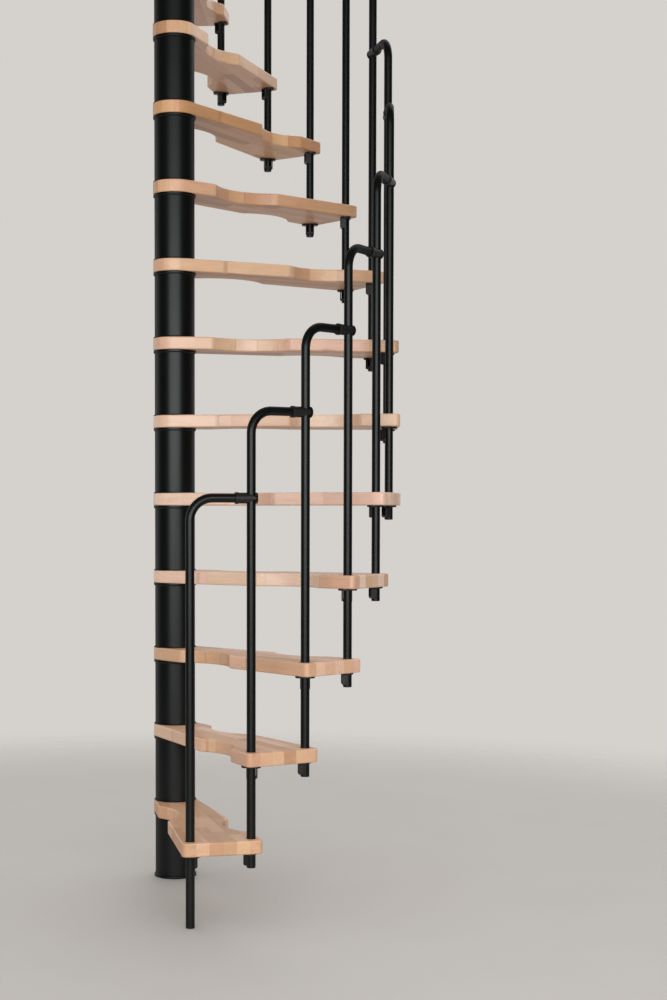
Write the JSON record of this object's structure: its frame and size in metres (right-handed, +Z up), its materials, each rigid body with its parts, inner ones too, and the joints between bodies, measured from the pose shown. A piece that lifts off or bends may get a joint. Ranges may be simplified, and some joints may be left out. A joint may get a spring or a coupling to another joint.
{
  "type": "spiral staircase",
  "caption": "Half-turn space-saving spiral staircase: hollowed wooden treads in alternating mirror images round a black sectional column, with bent tube balusters that join into a stepped rail.",
  "frame": {"origin": "centre of the base plate's lower face, on the floor", "axes": "+Z up along the column, -Y from the column towards the side where the first tread starts, +X to the side that the stair bulges to"},
  "size_m": [0.7371, 1.3466, 3.6785],
  "materials": {
    "beech": "finger-jointed beech, clear satin lacquer",
    "tube_black": "satin black powder coat",
    "column_black": "satin black powder coat",
    "fitting_black": "fine-grained black moulding",
    "zinc_steel": "zinc plated"
  },
  "bodies": {
    "root": {"tread_01": "beech", "tread_02": "beech", "tread_03": "beech", "tread_04": "beech", "tread_05": "beech", "tread_06": "beech", "tread_07": "beech", "tread_08": "beech", "tread_09": "beech", "tread_10": "beech", "tread_11": "beech", "tread_12": "beech", "baluster_01": "tube_black", "baluster_02": "tube_black", "baluster_03": "tube_black", "baluster_04": "tube_black", "baluster_05": "tube_black", "baluster_06": "tube_black", "baluster_07": "tube_black", "baluster_08": "tube_black", "baluster_09": "tube_black", "baluster_10": "tube_black", "baluster_11": "tube_black", "baluster_12": "tube_black", "end_post": "tube_black", "front_sockets": "fitting_black", "rear_sockets": "fitting_black", "rail_clamps": "fitting_black", "clamp_caps": "fitting_black", "clamp_screws": "zinc_steel", "tube_plugs": "fitting_black", "base_plate": "column_black", "column_sections": "column_black", "column_collars": "column_black", "column_cap": "column_black", "tie_rod": "zinc_steel"}
  },
  "joints": []
}
